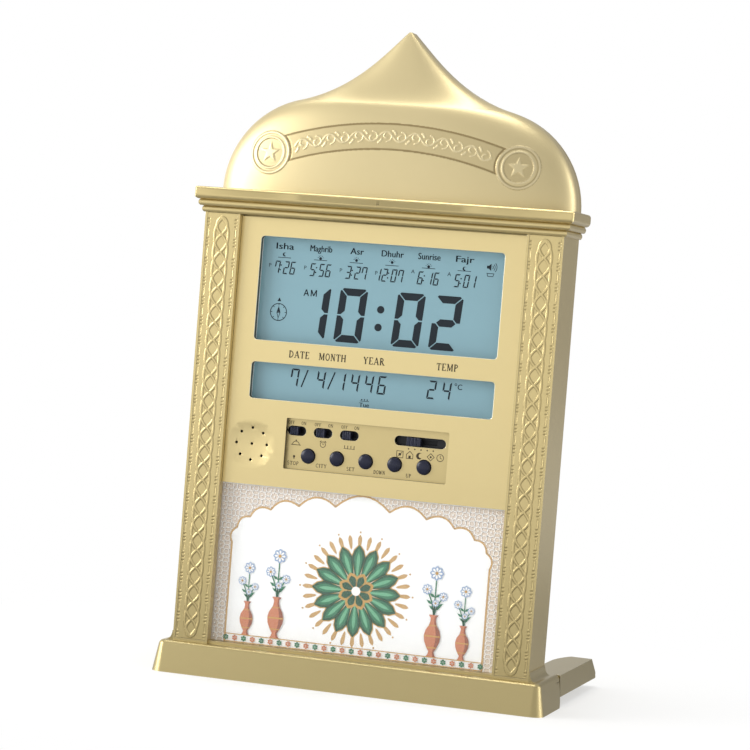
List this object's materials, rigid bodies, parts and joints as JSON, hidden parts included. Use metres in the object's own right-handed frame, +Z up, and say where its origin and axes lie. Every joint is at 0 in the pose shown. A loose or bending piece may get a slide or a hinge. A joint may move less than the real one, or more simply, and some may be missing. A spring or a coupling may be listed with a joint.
{
  "type": "prayer clock",
  "caption": "Upright desk and wall prayer clock: onion-dome head, cornice and braided pillars round two displays, recessed controls, speaker, picture panel, base bar and swing-out legs.",
  "frame": {"origin": "middle of the footprint (base bar to leg tips), on the surface the clock stands on", "axes": "front faces -Y, width along X, +Z up"},
  "size_m": [0.1716, 0.1108, 0.2781],
  "materials": {
    "gold_lacquer": "satin pale gold lacquer",
    "black_plastic": "blue-black moulded caps",
    "dark_plastic": "moulded housing",
    "white_plastic": "white moulding",
    "strip_rubber": "soft connector strip",
    "display_glass": "reflective blue-grey display",
    "circuit_board": "solder mask",
    "capacitor_sleeve": "shrink sleeve",
    "steel": "plated",
    "cone_paper": "pressed cone",
    "magnet": "zinc plated can",
    "wire_insulation": "insulated leads",
    "clear_sheet": "clear acrylic",
    "printed_card": "coated print",
    "grey_board": "pressed board",
    "cell_sleeve": "printed sleeve"
  },
  "bodies": {
    "clock": {"front_case": "gold_lacquer", "pillar_strip_left": "gold_lacquer", "pillar_strip_right": "gold_lacquer", "cornice": "gold_lacquer", "dome_cap": "gold_lacquer", "fascia": "gold_lacquer", "control_plate": "gold_lacquer", "slide_switch_bodies": "dark_plastic", "mode_switch_body": "dark_plastic", "tact_switches": "dark_plastic", "control_board": "circuit_board", "display_holder": "white_plastic", "main_display": "display_glass", "lower_display": "display_glass", "main_backlight": "white_plastic", "lower_backlight": "white_plastic", "connector_strips": "strip_rubber", "main_board": "circuit_board", "main_chip": "dark_plastic", "sound_chip": "dark_plastic", "crystal": "steel", "capacitors": "capacitor_sleeve", "ribbon_cable": "white_plastic", "speaker_basket": "steel", "speaker_cone": "cone_paper", "speaker_magnet": "magnet", "speaker_leads": "wire_insulation", "picture_sheet": "clear_sheet", "picture_card": "printed_card", "picture_backing": "grey_board", "back_cover": "gold_lacquer", "upper_cell": "cell_sleeve", "lower_cell": "cell_sleeve", "contact_springs": "steel", "contact_plates": "steel", "battery_leads": "wire_insulation", "base_bar": "gold_lacquer", "leg_pins": "steel", "base_screws": "steel", "fascia_screws": "steel", "board_screws": "steel", "backing_screws": "steel", "cover_screws": "steel"},
    "stop_button_body": {"stop_button": "black_plastic"},
    "city_button_body": {"city_button": "black_plastic"},
    "set_button_body": {"set_button": "black_plastic"},
    "down_button_body": {"down_button": "black_plastic"},
    "up_button_body": {"up_button": "black_plastic"},
    "sound_switch": {"sound_switch_knob": "black_plastic"},
    "alarm_switch": {"alarm_switch_knob": "black_plastic"},
    "call_switch": {"call_switch_knob": "black_plastic"},
    "mode_switch": {"mode_switch_knob": "black_plastic"},
    "battery_door_body": {"battery_door": "gold_lacquer"},
    "left_leg_body": {"left_leg": "gold_lacquer"},
    "right_leg_body": {"right_leg": "gold_lacquer"}
  },
  "joints": [
    {"name": "stop_button_press", "type": "slide", "parent": "clock", "child": "stop_button_body", "axis": [0, 1, 0], "range_m": [0, 0.0006], "stiffness_N_per_m": 600},
    {"name": "city_button_press", "type": "slide", "parent": "clock", "child": "city_button_body", "axis": [0, 1, 0], "range_m": [0, 0.0006], "stiffness_N_per_m": 600},
    {"name": "set_button_press", "type": "slide", "parent": "clock", "child": "set_button_body", "axis": [0, 1, 0], "range_m": [0, 0.0006], "stiffness_N_per_m": 600},
    {"name": "down_button_press", "type": "slide", "parent": "clock", "child": "down_button_body", "axis": [0, 1, 0], "range_m": [0, 0.0006], "stiffness_N_per_m": 600},
    {"name": "up_button_press", "type": "slide", "parent": "clock", "child": "up_button_body", "axis": [0, 1, 0], "range_m": [0, 0.0006], "stiffness_N_per_m": 600},
    {"name": "sound_switch_slide", "type": "slide", "parent": "clock", "child": "sound_switch", "axis": [1, 0, 0], "range_m": [0, 0.002]},
    {"name": "alarm_switch_slide", "type": "slide", "parent": "clock", "child": "alarm_switch", "axis": [1, 0, 0], "range_m": [0, 0.002]},
    {"name": "call_switch_slide", "type": "slide", "parent": "clock", "child": "call_switch", "axis": [1, 0, 0], "range_m": [0, 0.002]},
    {"name": "mode_switch_slide", "type": "slide", "parent": "clock", "child": "mode_switch", "axis": [1, 0, 0], "range_m": [-0.0027, 0.0081]},
    {"name": "battery_door_hinge", "type": "hinge", "parent": "clock", "child": "battery_door_body", "pos_m": [0, -0.02295, 0.06135], "axis": [1, 0, 0], "range_deg": [0, 100]},
    {"name": "left_leg_fold", "type": "hinge", "parent": "clock", "child": "left_leg_body", "pos_m": [-0.0778, -0.022, 0.0082], "axis": [0, 0, -1], "range_deg": [0, 90]},
    {"name": "right_leg_fold", "type": "hinge", "parent": "clock", "child": "right_leg_body", "pos_m": [0.0778, -0.022, 0.0082], "axis": [0, 0, 1], "range_deg": [0, 90]}
  ]
}
